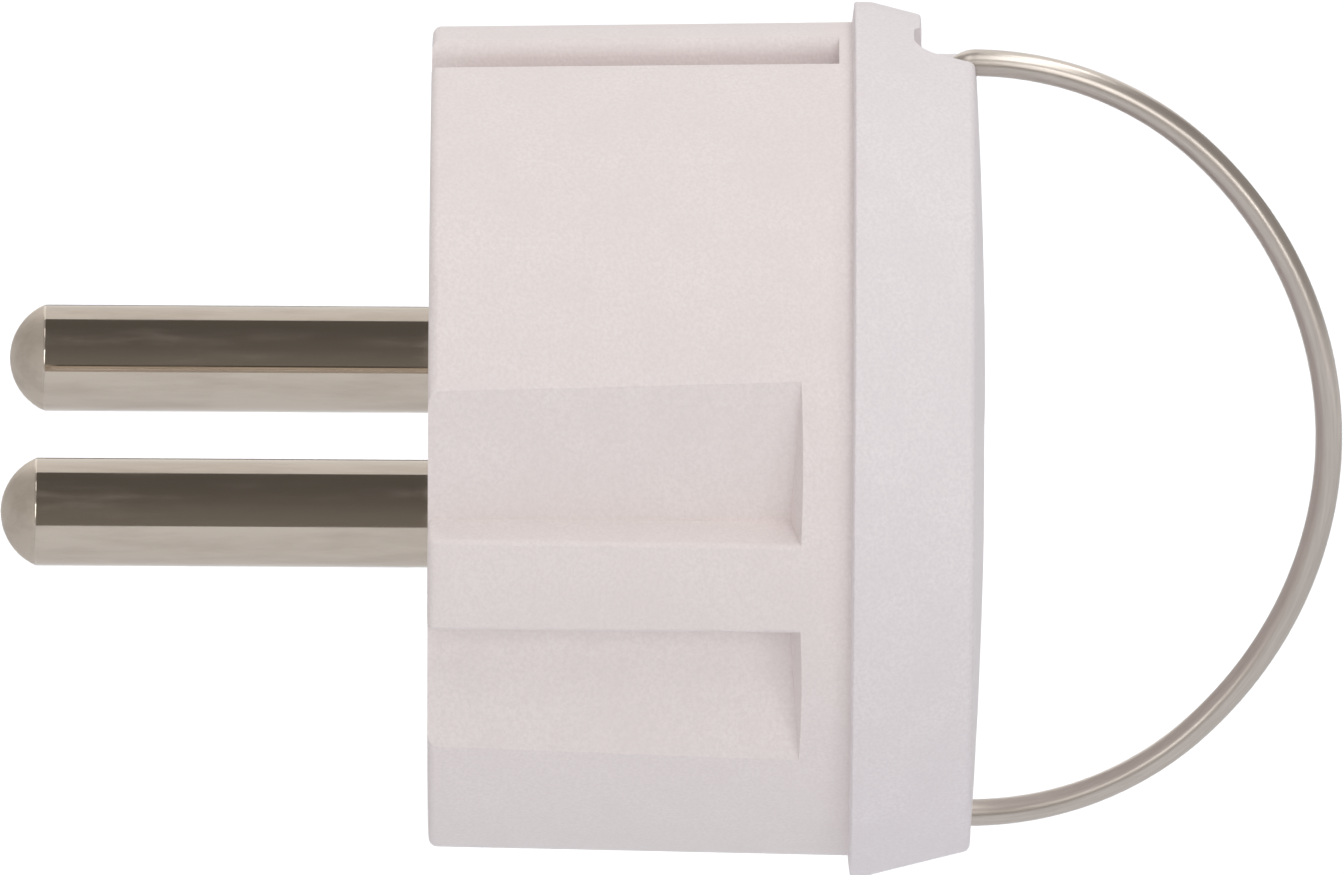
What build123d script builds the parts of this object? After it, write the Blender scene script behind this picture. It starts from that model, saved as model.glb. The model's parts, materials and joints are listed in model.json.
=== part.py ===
from build123d import *
import math
import os

# A round two-pin wall-plug adapter with a USB socket in its domed back and a wire pull loop.
# The origin is the centre of the engagement face, +Y points into the wall and +Z is up.
# Lengths are in millimetres. Depth is measured from the engagement face to the rear, along -Y.

# Fits and margins
running_fit = 0.05
assembly_gap = 0.10
neighbour_gap = 0.70
cut_margin = 2.0

# Contact pins
pin_spacing = 19.0
pin_diameter = 4.8
pin_reach = 19.0
pin_tip_radius = 2.6
pin_tip_edge_radius = 0.12
pin_root_step = 0.3
pin_seat_depth = 4.2
pin_collar_step = 0.9
pin_collar_thickness = 1.2
pin_tail_diameter = 2.2
pin_tail_stub = 1.1

# Front shell
body_length = 18.7
body_front_radius = 18.3
body_rear_radius = 18.6
front_edge_radius = 0.4
face_wall = 2.2
side_wall = 1.6
guide_recess = 2.05
guide_length = 16.45
guide_flank_draft = 8.0
guide_end_draft = 13.0
rib_width = 4.2
rib_edge_radius = 0.25
clip_groove_width = 2.6
clip_groove_depth = 2.4
clip_groove_length = 18.1
clip_groove_edge_radius = 0.75

# Rear cover
flange_radius = 19.5
flange_land = 0.85
flange_lean = 0.1
flange_edge_radius = 0.1
cover_rim_radius = 18.35
cover_rim_height = 5.42
cover_height = 6.03
cover_rim_edge_radius = 0.35
cover_wall = 1.5
spigot_length = 1.1
spigot_rim = 1.3
inner_step_height = 1.6

# Pull loop of round wire and its seat in the cover
wire_diameter = 1.2
loop_half_width = 17.95
loop_reach = 16.76
loop_shoulder_radius = 14.5
loop_bend_radius = 0.8
loop_leg_grip = 2.1
hinge_height = 4.62
seat_height = 3.06
seat_gap = 0.20
seat_edge_radius = 0.2
pocket_near_side = 1.05
pocket_far_side = 2.40
pocket_front = 1.90
pocket_corner_radius = 1.2

# Pin retainer, staked on two posts of the shell
retainer_thickness = 1.4
retainer_margin = 0.8
stake_offset = 7.0
stake_diameter = 2.2
stake_head_step = 0.6
stake_head_height = 0.8

# Circuit board and its posts
board_underside_room = 2.2
board_thickness = 1.0
board_edge_gap = 0.6
component_headroom = 0.8
board_post_diameter = 2.6
board_post_inset = 1.5
lead_diameter = 0.6
lead_stub = 1.2

# USB receptacle
usb_width = 13.1
usb_height = 5.7
usb_corner_radius = 0.8
usb_sheet = 0.3
usb_mouth_recess = 0.7
usb_base_height = 4.2
usb_tongue_width = 11.1
usb_tongue_thickness = 1.84
usb_tongue_offset = 0.94
usb_tongue_recess = 1.0
usb_contact_width = 1.0
usb_contact_thickness = 0.25
usb_contact_bow = 0.4
usb_contact_peak_setback = 3.0
usb_contact_places = (-3.5, -1.0, 1.0, 3.5)
usb_spring_place = 3.2
usb_spring_width = 2.0
usb_spring_length = 5.0
usb_spring_slot = 0.45
usb_tab_width = 1.8
usb_lead_in = 0.5
usb_lead_in_taper = 45.0

# Transformer
core_width = 12.6
core_height = 9.4
core_thickness = 5.8
core_outer_leg = 2.5
core_centre_leg = 3.2
core_back = 2.3
core_lift = 0.4
bobbin_wall = 0.5
bobbin_reach = 1.6
bobbin_rail_width = 9.0
winding_inset = 0.25
transformer_pin_pitch = 3.2

# Radial capacitors and the drum choke
input_capacitor_diameter = 6.3
input_capacitor_pitch = 2.5
input_capacitor_place = 5.2
output_capacitor_diameter = 5.0
output_capacitor_height = 8.0
output_capacitor_pitch = 2.0
capacitor_neck = 0.25
capacitor_edge_bevel = 0.3
choke_diameter = 5.0
choke_height = 7.0
choke_flange = 0.9
choke_waist = 0.5
choke_pitch = 2.0
side_component_place = 6.0

# Disc capacitor and the standing resistor
disc_diameter = 5.6
disc_thickness = 2.4
disc_edge_radius = 0.9
disc_pitch = 3.0
resistor_diameter = 3.2
resistor_cap_length = 1.3
resistor_waist = 0.25
resistor_lift = 0.8
resistor_lead_pitch = 3.0
resistor_bend_radius = 1.0
lower_component_place = 5.2

# Surface-mounted parts on the front of the board
bridge_size = (4.7, 3.9, 1.5)
chip_size = (4.9, 3.9, 1.5)
gull_reach = 0.8
gull_width = 0.4
gull_thickness = 0.2
gull_pitch = 1.27
package_draft = 8.0
diode_size = (3.6, 4.3, 1.9)
diode_strap_width = 2.0
diode_strap_thickness = 0.2
diode_draft = 6.0
chip_part_length = 2.0
chip_part_width = 1.25
chip_part_cap = 0.4
chip_part_cap_rise = 0.05
chip_resistor_height = 0.5
chip_capacitor_height = 0.9

# Sizes that follow from the driving dimensions
pin_radius = pin_diameter / 2
pin_root_radius = pin_radius + pin_root_step
pin_collar_radius = pin_radius + pin_collar_step
pin_tail_radius = pin_tail_diameter / 2
collar_rear = pin_seat_depth + pin_collar_thickness
retainer_rear = collar_rear + retainer_thickness
stake_head_rear = retainer_rear + stake_head_height
board_depth = stake_head_rear + board_underside_room
board_rear = board_depth + board_thickness
pin_tail_end = board_rear + pin_tail_stub
guide_flat = body_front_radius - guide_recess
cavity_radius = body_front_radius - side_wall
cavity_half_width = guide_flat - side_wall
clip_groove_floor = body_front_radius - clip_groove_depth
counterbore_radius = body_rear_radius - spigot_rim
spigot_radius = counterbore_radius - assembly_gap
wire_radius = wire_diameter / 2
hinge_depth = body_length + hinge_height
seat_inset = wire_radius + seat_gap
pivot_floor = loop_half_width - seat_inset
leg_end = pivot_floor - loop_leg_grip
cover_inner_radius = loop_reach - seat_inset - cover_wall
cover_ceiling = body_length + cover_rim_height - cover_wall
component_room = cover_ceiling - component_headroom - board_rear
board_radius = cavity_half_width - board_edge_gap
lead_radius = lead_diameter / 2
usb_mouth = body_length + cover_height - usb_mouth_recess
usb_tongue_end = usb_mouth - usb_tongue_recess
usb_base_rear = board_rear + usb_base_height
usb_inner_width = usb_width - 2 * usb_sheet
usb_inner_height = usb_height - 2 * usb_sheet
core_window = (core_width - core_centre_leg) / 2 - core_outer_leg
bobbin_half_depth = core_thickness / 2 + bobbin_reach
transformer_place = usb_height / 2 + neighbour_gap + bobbin_half_depth
transformer_pin_rows = (
    transformer_place - core_thickness / 2 - bobbin_reach / 2,
    transformer_place + core_thickness / 2 + bobbin_reach / 2,
)
transformer_pin_columns = (-transformer_pin_pitch, 0.0, transformer_pin_pitch)
input_capacitor_height = component_room
input_capacitor_rise = -(usb_height / 2 + neighbour_gap + input_capacitor_diameter / 2)
output_capacitor_place = core_width / 2 + neighbour_gap + output_capacitor_diameter / 2
choke_place = -(core_width / 2 + neighbour_gap + choke_diameter / 2)
lower_row_start = input_capacitor_place + input_capacitor_diameter / 2 + neighbour_gap
disc_place = -(lower_row_start + disc_thickness / 2)
resistor_place = lower_row_start + resistor_diameter / 2
resistor_bend_rise = resistor_lift + resistor_lead_pitch / 2
resistor_length = component_room - resistor_lift - resistor_bend_rise - lead_radius
chip_row_top = input_capacitor_rise - lead_radius - neighbour_gap / 2
bridge_place = (
    -(bridge_size[0] + neighbour_gap) / 2,
    chip_row_top - gull_reach - bridge_size[1] / 2,
)
chip_place = (
    (chip_size[0] + neighbour_gap) / 2,
    chip_row_top - gull_reach - chip_size[1] / 2,
)
diode_place = ((diode_size[0] + neighbour_gap) / 2, transformer_place)
chip_resistor_pitch = chip_part_width + neighbour_gap
chip_resistor_x = -(chip_part_length + neighbour_gap) / 2
chip_resistor_places = [
    (chip_resistor_x, transformer_place + step * chip_resistor_pitch) for step in (-1, 0, 1)
]
chip_capacitor_pitch = chip_part_length + 2 * neighbour_gap
chip_capacitor_z = input_capacitor_rise / 2
chip_capacitor_places = [(step * chip_capacitor_pitch, chip_capacitor_z) for step in (-1, 0, 1)]


def at_depth(depth):
    """The plane square to the plug's axis at a depth, with X across and Z up."""
    return Plane.XZ.offset(depth)


def prism(sketch, start, end):
    """A sketch drawn across the axis and carried from one depth to another."""
    return extrude(at_depth(start) * sketch, amount=end - start)


def rod(x, z, radius, start, end):
    """A round rod along the plug's axis."""
    return prism(Pos(x, z) * Circle(radius), start, end)


def spun(edges):
    """A closed profile of (radius, -depth) edges turned about the plug's axis."""
    return revolve(make_face(edges), axis=Axis.Y)


def placed_rods(places, radius, start, end):
    """One rod at each (x, z) place."""
    return [rod(x, z, radius, start, end) for x, z in places]


def both_ends(shape):
    """A shape and its mirror image below the plug's middle."""
    return [shape, mirror(shape, about=Plane.XY)]


def both_sides(shape):
    """A shape and its mirror image on the other side of the plug."""
    return [shape, mirror(shape, about=Plane.YZ)]


def pair_places(x, z, pitch, upright):
    """The two lead places of a component, side by side or one above the other."""
    half = pitch / 2
    if upright:
        return [(x, z - half), (x, z + half)]
    return [(x - half, z), (x + half, z)]


pin_places = [(-pin_spacing / 2, 0.0), (pin_spacing / 2, 0.0)]
stake_places = [(0.0, -stake_offset), (0.0, stake_offset)]
post_reach = (board_radius - board_post_inset) * math.sqrt(0.5)
post_places = [(sx * post_reach, sz * post_reach) for sx in (-1, 1) for sz in (-1, 1)]
input_capacitor_left_leads = pair_places(
    -input_capacitor_place, input_capacitor_rise, input_capacitor_pitch, False
)
input_capacitor_right_leads = pair_places(
    input_capacitor_place, input_capacitor_rise, input_capacitor_pitch, False
)
output_capacitor_leads = pair_places(
    output_capacitor_place, side_component_place, output_capacitor_pitch, True
)
choke_leads = pair_places(choke_place, side_component_place, choke_pitch, True)
disc_leads = pair_places(disc_place, -lower_component_place, disc_pitch, True)
resistor_leads = [
    (resistor_place, -lower_component_place),
    (resistor_place, -lower_component_place + resistor_lead_pitch),
]
transformer_leads = [
    (x, z) for x in transformer_pin_columns for z in transformer_pin_rows
]


def guide_pocket():
    """One guide pocket above the rib, open at the face, with a drafted flank and end.

    The end wall slants with the body's fall, so its outer edge stays at the guide length."""
    outer = body_rear_radius + cut_margin
    depth = outer - guide_flat
    flank = math.tan(math.radians(guide_flank_draft))
    foot = rib_width / 2 + guide_recess * flank
    across = Polyline(
        (guide_flat, foot), (outer, foot - depth * flank), (outer, outer), (guide_flat, outer),
        close=True,
    )
    lean = math.tan(math.radians(guide_end_draft))
    run_out = math.sqrt(body_rear_radius ** 2 - guide_flat ** 2)
    fall = guide_recess / (run_out - rib_width / 2)
    floor_end = run_out * fall * lean - guide_length
    along = Polyline(
        (guide_flat, cut_margin), (outer, cut_margin), (outer, floor_end - depth * lean),
        (guide_flat, floor_end), close=True,
    )
    section = prism(make_face(across), -cut_margin, body_length)
    return section & extrude(make_face(along), amount=outer, dir=(0, -fall * lean, 1))


def clip_groove():
    """The upper groove for a socket's earth clip, with rolled edges that follow the draft."""
    half = clip_groove_width / 2
    roll = clip_groove_edge_radius
    shoulder = half + roll
    turn = body_front_radius - roll
    top = body_rear_radius + cut_margin
    right_roll = RadiusArc((half, turn), (shoulder, body_front_radius), roll)
    left_roll = RadiusArc((-shoulder, body_front_radius), (-half, turn), roll)
    profile = make_face(
        [
            Line((-half, clip_groove_floor), (half, clip_groove_floor)),
            Line((half, clip_groove_floor), (half, turn)),
            right_roll,
            Polyline((shoulder, body_front_radius), (shoulder, top), (-shoulder, top),
                     (-shoulder, body_front_radius)),
            left_roll,
            Line((-half, turn), (-half, clip_groove_floor)),
        ]
    )
    slope = (body_rear_radius - body_front_radius) / body_length
    return extrude(at_depth(0) * profile, amount=clip_groove_length, dir=(0, -1, slope))


def shell_cavity():
    """The room behind the engagement face, kept clear of the pockets and grooves."""
    groove_back_width = clip_groove_width + 2 * side_wall
    groove_back = clip_groove_floor - side_wall
    outline = Circle(cavity_radius) & Rectangle(2 * cavity_half_width, 2 * cavity_radius)
    keep = Pos(0, groove_back + cavity_radius / 2) * Rectangle(groove_back_width, cavity_radius)
    outline = outline - keep - mirror(keep, about=Plane.XZ)
    room = prism(outline, face_wall, body_length + cut_margin)
    counterbore_start = body_length - spigot_length - assembly_gap
    counterbore = rod(0, 0, counterbore_radius, counterbore_start, body_length + cut_margin)
    return [room, counterbore]


def front_shell():
    """The moulded body: guide pockets and ribs, clip grooves, pin bosses and board posts."""
    outline = Polyline(
        (0, 0), (body_front_radius, 0), (body_rear_radius, -body_length), (0, -body_length),
        close=True,
    )
    shell = spun(outline)
    face_edge = shell.edges().filter_by(GeomType.CIRCLE).sort_by(Axis.Y)[-1]
    shell = fillet(face_edge, front_edge_radius)
    for upper in both_sides(guide_pocket()):
        shell = shell - both_ends(upper)
    shell = shell - both_ends(clip_groove())
    shell = fillet(rib_edges(shell), rib_edge_radius)
    shell = shell - shell_cavity()
    root = face_wall / 2
    shell = shell + placed_rods(pin_places, pin_collar_radius, root, pin_seat_depth)
    shell = shell + placed_rods(post_places, board_post_diameter / 2, root, board_depth)
    shell = shell + placed_rods(stake_places, stake_diameter / 2, root, retainer_rear)
    head_radius = stake_diameter / 2 + stake_head_step
    shell = shell + placed_rods(stake_places, head_radius, retainer_rear, stake_head_rear)
    bore = pin_root_radius + running_fit
    return shell - placed_rods(pin_places, bore, -cut_margin, pin_seat_depth + cut_margin)


def rib_edges(shell):
    """The four long edges where the ribs' flanks meet the round body."""
    half = rib_width / 2
    long_edges = shell.edges().filter_by(lambda edge: edge.length > guide_length / 2)
    near_rib = long_edges.filter_by(lambda edge: abs(abs(edge.center().Z) - half) < half / 2)
    return near_rib.filter_by(lambda edge: abs(edge.center().X) > guide_flat + guide_recess / 2)


def crowned_quarter(half_width, height, edge_radius):
    """A quarter of a flat oval: an edge arc and the crown arc that runs on smoothly from it.

    Each arc is three (rise, width) points. The edge starts upright at the full half width, and
    the crown ends level at the full height.
    """
    edge_width = half_width - edge_radius
    spread = height ** 2 + edge_width ** 2 - edge_radius ** 2
    crown_radius = spread / (2 * (height - edge_radius))
    crown_rise = height - crown_radius
    joint = math.atan2(edge_width, -crown_rise)
    edge = [
        (edge_radius * math.sin(turn), edge_width + edge_radius * math.cos(turn))
        for turn in (0, (math.pi / 2 - joint) / 2, math.pi / 2 - joint)
    ]
    crown = [
        (crown_rise + crown_radius * math.cos(turn), crown_radius * math.sin(turn))
        for turn in (joint, joint / 2, 0)
    ]
    return edge, crown


def contact_pin(x):
    """A turned pin: domed tip, a root in the face's bore, a collar behind it, a solder tail."""
    dome_centre = pin_reach - pin_tip_radius
    shank_end = dome_centre + math.sqrt(pin_tip_radius ** 2 - pin_radius ** 2)
    dome = TangentArc((0, pin_reach), (pin_radius, shank_end), tangent=(1, 0))
    profile = Polyline(
        (0, pin_reach), (0, -pin_tail_end), (pin_tail_radius, -pin_tail_end),
        (pin_tail_radius, -collar_rear), (pin_collar_radius, -collar_rear),
        (pin_collar_radius, -pin_seat_depth), (pin_root_radius, -pin_seat_depth),
        (pin_root_radius, 0), (pin_radius, 0), (pin_radius, shank_end),
    )
    pin = spun([dome, profile])
    dome_edge = pin.edges().filter_by(lambda edge: edge.is_closed).sort_by(Axis.Y)[-1]
    return Pos(x, 0, 0) * fillet(dome_edge, pin_tip_edge_radius)


def pin_retainer():
    """The staked plate that keeps the pins' collars on their seats."""
    width = 2 * (pin_collar_radius + retainer_margin)
    bar = SlotCenterToCenter(pin_spacing, width)
    cross_width = stake_diameter + 2 * stake_head_step + 2 * retainer_margin
    cross = SlotCenterToCenter(2 * stake_offset, cross_width, rotation=90)
    room = Rectangle(2 * (cavity_half_width - assembly_gap), 2 * cavity_radius)
    plate = prism((bar + cross) & room, collar_rear, retainer_rear)
    holes = placed_rods(pin_places, pin_tail_radius + assembly_gap, 0, board_depth)
    stakes = placed_rods(stake_places, stake_diameter / 2 + running_fit, 0, board_depth)
    return plate - holes - stakes


def loop_arcs(inset, turn):
    """The loop's two shoulder arcs and its crown, set in from the wire's centreline.

    turn(distance, height) carries a point, measured from the hinge, into the wanted plane.
    """
    edge, crown = crowned_quarter(
        loop_half_width - inset,
        loop_reach - loop_bend_radius - inset,
        loop_shoulder_radius - inset,
    )
    upper = [(loop_bend_radius + rise, width) for rise, width in edge]
    lower = [(distance, -height) for distance, height in reversed(upper)]
    apex = (loop_bend_radius + crown[-1][0], 0)
    return [
        ThreePointArc(*[turn(*point) for point in upper]),
        ThreePointArc(turn(*upper[-1]), turn(*apex), turn(*lower[0])),
        ThreePointArc(*[turn(*point) for point in lower]),
    ]


def standing(distance, height):
    """A point of the loop as it stands straight out behind the cover."""
    return Vector(0, -hinge_depth - distance, height)


def pull_bail():
    """The wire loop: both ends bend inwards into the cover's pivot holes."""
    turn_height = loop_half_width - loop_bend_radius
    corner = loop_bend_radius * (1 - math.sqrt(0.5))
    upper_bend = [
        (0, turn_height), (corner, loop_half_width - corner), (loop_bend_radius, loop_half_width),
    ]
    lower_bend = [(x, -z) for x, z in reversed(upper_bend)]
    path = Wire(
        [
            Line(standing(0, leg_end), standing(0, turn_height)),
            ThreePointArc(*[standing(x, z) for x, z in upper_bend]),
            *loop_arcs(0, standing),
            ThreePointArc(*[standing(x, z) for x, z in lower_bend]),
            Line(standing(0, -turn_height), standing(0, -leg_end)),
        ]
    )
    section = Plane(standing(0, leg_end), z_dir=(0, 0, 1)) * Circle(wire_radius)
    return sweep(section, path=path)


def loop_seat():
    """The rebate on one side of the cover that the folded loop lies in."""
    folded = loop_arcs(seat_inset, lambda distance, height: Vector(distance, height))
    far = flange_radius + cut_margin
    hub = make_face(
        [
            *folded,
            Polyline((loop_bend_radius, -pivot_floor), (0, -pivot_floor), (0, pivot_floor),
                     (loop_bend_radius, pivot_floor)),
        ]
    )
    half_plane = Pos(far / 2, 0) * Rectangle(far, 2 * far)
    start = body_length + seat_height
    return prism(half_plane - hub, start, body_length + cover_height + cut_margin)


def pivot_pocket():
    """The round-cornered pocket over the upper pivot, and the pivot hole in its floor."""
    rear = hinge_height + cut_margin
    width = pocket_near_side + pocket_far_side
    centre_x = (pocket_far_side - pocket_near_side) / 2
    centre_y = -(hinge_depth + (rear - pocket_front) / 2)
    outline = Pos(centre_x, centre_y) * RectangleRounded(
        width, rear + pocket_front, pocket_corner_radius
    )
    pocket = extrude(Plane.XY.offset(pivot_floor) * outline, amount=flange_radius)
    hole_start = leg_end - assembly_gap
    hole = Plane.XY.offset(hole_start) * Pos(0, -hinge_depth) * Circle(wire_radius + running_fit)
    return pocket, extrude(hole, amount=pivot_floor + assembly_gap - hole_start)


def usb_outline(growth):
    """The receptacle's rounded oblong section, grown outwards all round."""
    return RectangleRounded(
        usb_width + 2 * growth, usb_height + 2 * growth, usb_corner_radius + growth
    )


def rear_cover():
    """The conical cover: domed back, spigot, loop seat, pivot pockets and USB opening."""
    apex = -(body_length + cover_height)
    rim = (cover_rim_radius, -(body_length + cover_rim_height))
    spigot_inner = spigot_radius - cover_wall
    step = -(body_length + inner_step_height)
    front = (flange_radius, -(body_length + flange_lean))
    profile = [
        TangentArc((0, apex), rim, tangent=(1, 0)),
        Polyline(
            rim,
            (flange_radius, -(body_length + flange_land)),
            front,
            (body_rear_radius, -body_length),
            (spigot_radius, -body_length),
            (spigot_radius, -(body_length - spigot_length)),
            (spigot_inner, -(body_length - spigot_length)),
            (spigot_inner, step),
            (cover_inner_radius, step),
            (cover_inner_radius, -cover_ceiling),
            (0, -cover_ceiling),
            (0, apex),
        ),
    ]
    cover = spun(profile)
    circles = cover.edges().filter_by(GeomType.CIRCLE)
    rim_edge = circles.sort_by(lambda edge: math.dist((edge.radius, edge.center().Y), rim))[0]
    cover = fillet(rim_edge, cover_rim_edge_radius)
    circles = cover.edges().filter_by(GeomType.CIRCLE)
    front_edge = circles.sort_by(lambda edge: math.dist((edge.radius, edge.center().Y), front))[0]
    cover = fillet(front_edge, flange_edge_radius)
    cover = cover - loop_seat()
    cover = fillet(seat_edges(cover), seat_edge_radius)
    pocket, hole = pivot_pocket()
    cover = cover - both_ends(pocket) - both_ends(hole)
    rear = body_length + cover_height + cut_margin
    cover = cover - prism(usb_outline(assembly_gap), body_length, rear)
    lead_in = at_depth(-apex) * usb_outline(assembly_gap + usb_lead_in)
    return cover - extrude(lead_in, amount=-(usb_lead_in + usb_sheet), taper=usb_lead_in_taper)


def seat_edges(cover):
    """The outer edge of the loop seat, where its front wall meets the cone."""
    wall = -(body_length + seat_height)
    on_wall = cover.edges().filter_by(lambda edge: abs(edge.center().Y - wall) < running_fit)
    round_edges = on_wall.filter_by(GeomType.CIRCLE)
    return round_edges.filter_by(lambda edge: edge.radius > pivot_floor + seat_gap)


def lead_holes(places):
    """Clearance holes in the board for round leads."""
    radius = lead_radius + assembly_gap
    return placed_rods(places, radius, board_depth - cut_margin, board_rear + cut_margin)


def circuit_board():
    """The round board on its four posts, drilled for every lead and tail."""
    board = rod(0, 0, board_radius, board_depth, board_rear)
    start = board_depth - cut_margin
    end = board_rear + cut_margin
    board = board - placed_rods(pin_places, pin_tail_radius + assembly_gap, start, end)
    for places in (
        input_capacitor_left_leads, input_capacitor_right_leads, output_capacitor_leads,
        choke_leads, disc_leads, resistor_leads, transformer_leads,
    ):
        board = board - lead_holes(places)
    tail_z = contact_height()
    board = board - lead_holes([(x, tail_z) for x in usb_contact_places])
    tab_x = (usb_width - usb_sheet) / 2
    tab = Rectangle(usb_sheet + 2 * assembly_gap, usb_tab_width + 2 * assembly_gap)
    return board - [prism(Pos(side * tab_x, 0) * tab, start, end) for side in (-1, 1)]


def usb_shell():
    """The receptacle's folded metal shell, with spring fingers and board tabs."""
    inner = RectangleRounded(usb_inner_width, usb_inner_height, usb_corner_radius - usb_sheet)
    shell = prism(usb_outline(0) - inner, board_rear, usb_mouth)
    finger_end = usb_mouth - usb_tongue_recess
    finger_start = finger_end - usb_spring_length
    frame_half = usb_spring_width / 2 + usb_spring_slot
    slot = Plane.XY * Pos(usb_spring_place, -(finger_start + finger_end) / 2) * (
        Rectangle(2 * frame_half, usb_spring_length)
        - Pos(0, -usb_spring_slot) * Rectangle(usb_spring_width, usb_spring_length)
    )
    slot_cut = extrude(slot, amount=usb_height, both=True)
    shell = shell - both_sides(slot_cut)
    tab_x = (usb_width - usb_sheet) / 2
    tab = prism(Rectangle(usb_sheet, usb_tab_width), board_depth - lead_stub, board_rear)
    return shell + [Pos(side * tab_x, 0, 0) * tab for side in (-1, 1)]


def contact_height():
    """The middle height of the contact strips, under the tongue."""
    return usb_tongue_offset - (usb_tongue_thickness + usb_contact_thickness) / 2


def usb_contacts():
    """Four bowed contact strips under the tongue, each with a round board tail."""
    top = usb_tongue_offset - usb_tongue_thickness / 2
    bow_start = usb_base_rear + usb_contact_width
    bow_end = usb_tongue_end - usb_contact_width
    bow_peak = usb_tongue_end - usb_contact_peak_setback
    tip = usb_tongue_end - usb_contact_width / 2
    upper = [
        (-board_rear, top), (-bow_start, top), (-bow_peak, top - usb_contact_bow),
        (-bow_end, top), (-tip, top),
    ]
    lower = [(y, z - usb_contact_thickness) for y, z in reversed(upper)]
    strip = extrude(
        Plane.YZ * make_face(Polyline(*upper, *lower, close=True)),
        amount=usb_contact_width / 2, both=True,
    )
    tail = rod(0, contact_height(), lead_radius, board_depth - lead_stub, board_rear)
    contact = strip + tail
    return Compound([Pos(x, 0, 0) * contact for x in usb_contact_places])


def usb_insulator():
    """The moulded base and tongue that carry the contacts."""
    base_outline = RectangleRounded(
        usb_inner_width - 2 * running_fit, usb_inner_height - 2 * running_fit,
        usb_corner_radius - usb_sheet,
    )
    base = prism(base_outline, board_rear, usb_base_rear)
    tongue_outline = Pos(0, usb_tongue_offset) * Rectangle(usb_tongue_width, usb_tongue_thickness)
    tongue = prism(tongue_outline, board_rear, usb_tongue_end)
    lip = tongue.faces().sort_by(Axis.Y)[0].edges()
    tongue = chamfer(lip, usb_contact_thickness)
    insulator = base + tongue
    for contact in usb_contacts().solids():
        insulator = insulator - contact
    return insulator


def core_half():
    """The E-shaped ferrite half that stands nearer the board."""
    start = board_rear + core_lift
    half_height = core_height / 2
    legs_end = start + half_height
    body = Rectangle(core_width, core_thickness)
    window_x = core_centre_leg / 2 + core_window / 2
    window = Rectangle(core_window, core_thickness + cut_margin)
    half = prism(Pos(0, transformer_place) * body, start, legs_end)
    cuts = [
        prism(Pos(side * window_x, transformer_place) * window, start + core_back, legs_end)
        for side in (-1, 1)
    ]
    return half - cuts


def core_rear():
    """The other ferrite half, turned to face the first."""
    middle = board_rear + core_lift + core_height / 2
    return mirror(core_half(), about=at_depth(middle))


def window_span():
    """The depths between which the bobbin fills the core's windows."""
    start = board_rear + core_lift + core_back + running_fit
    return start, board_rear + core_lift + core_height - core_back - running_fit


def bobbin_tube(growth):
    """The section round the centre leg, grown outwards."""
    return Pos(0, transformer_place) * Rectangle(
        core_centre_leg + 2 * growth, core_thickness + 2 * growth
    )


def bobbin():
    """The winding former: two flanges on a tube, pin rails on the board and six pins."""
    start, end = window_span()
    flange_width = core_centre_leg + 2 * (core_window - running_fit)
    flange = Pos(0, transformer_place) * Rectangle(flange_width, 2 * bobbin_half_depth)
    former = prism(bobbin_tube(running_fit + bobbin_wall), start, end)
    former = former + prism(flange, start, start + bobbin_wall)
    former = former + prism(flange, end - bobbin_wall, end)
    rail = Rectangle(bobbin_rail_width, bobbin_reach - running_fit)
    for row in transformer_pin_rows:
        outwards = math.copysign(running_fit / 2, row - transformer_place)
        former = former + prism(Pos(0, row + outwards) * rail, board_rear, start + bobbin_wall)
    former = former - prism(bobbin_tube(running_fit), start, end)
    pins = placed_rods(transformer_leads, lead_radius, board_depth - lead_stub, start)
    return former + pins


def winding():
    """The taped winding between the bobbin's flanges."""
    start, end = window_span()
    inner = running_fit + bobbin_wall
    width = core_centre_leg + 2 * (core_window - winding_inset)
    depth = 2 * (bobbin_half_depth - winding_inset)
    outer = Pos(0, transformer_place) * RectangleRounded(width, depth, bobbin_reach)
    return prism(outer - bobbin_tube(inner), start + bobbin_wall, end - bobbin_wall)


def radial_capacitor(x, z, diameter, height, leads):
    """A sleeved can with a rolled neck and a bevelled top, standing on the board."""
    radius = diameter / 2
    neck = radius - capacitor_neck
    groove_start = 2 * capacitor_neck
    groove_middle = groove_start + capacitor_neck
    groove_end = groove_middle + capacitor_neck
    bevel = capacitor_edge_bevel
    profile = Polyline(
        (0, 0), (radius, 0), (radius, -groove_start), (neck, -groove_middle),
        (radius, -groove_end), (radius, bevel - height), (radius - bevel, -height), (0, -height),
        close=True,
    )
    can = Pos(x, -board_rear, z) * spun(profile)
    return can + placed_rods(leads, lead_radius, board_depth - lead_stub, board_rear)


def filter_choke():
    """A drum choke: a waist of wire between two ferrite flanges, on two leads."""
    radius = choke_diameter / 2
    waist = radius - choke_waist
    profile = Polyline(
        (0, 0), (radius, 0), (radius, -choke_flange), (waist, -choke_flange),
        (waist, choke_flange - choke_height), (radius, choke_flange - choke_height),
        (radius, -choke_height), (0, -choke_height), close=True,
    )
    drum = Pos(choke_place, -board_rear, side_component_place) * spun(profile)
    return drum + placed_rods(choke_leads, lead_radius, board_depth - lead_stub, board_rear)


def safety_capacitor():
    """A lacquered disc capacitor standing on its two leads."""
    radius = disc_diameter / 2
    lift = disc_edge_radius
    middle = board_rear + lift + radius
    disc = extrude(Plane.YZ * Circle(radius), amount=disc_thickness / 2, both=True)
    disc = fillet(disc.edges().filter_by(GeomType.CIRCLE), disc_edge_radius)
    disc = Pos(disc_place, -middle, -lower_component_place) * disc
    return disc + placed_rods(disc_leads, lead_radius, board_depth - lead_stub, middle)


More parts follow.
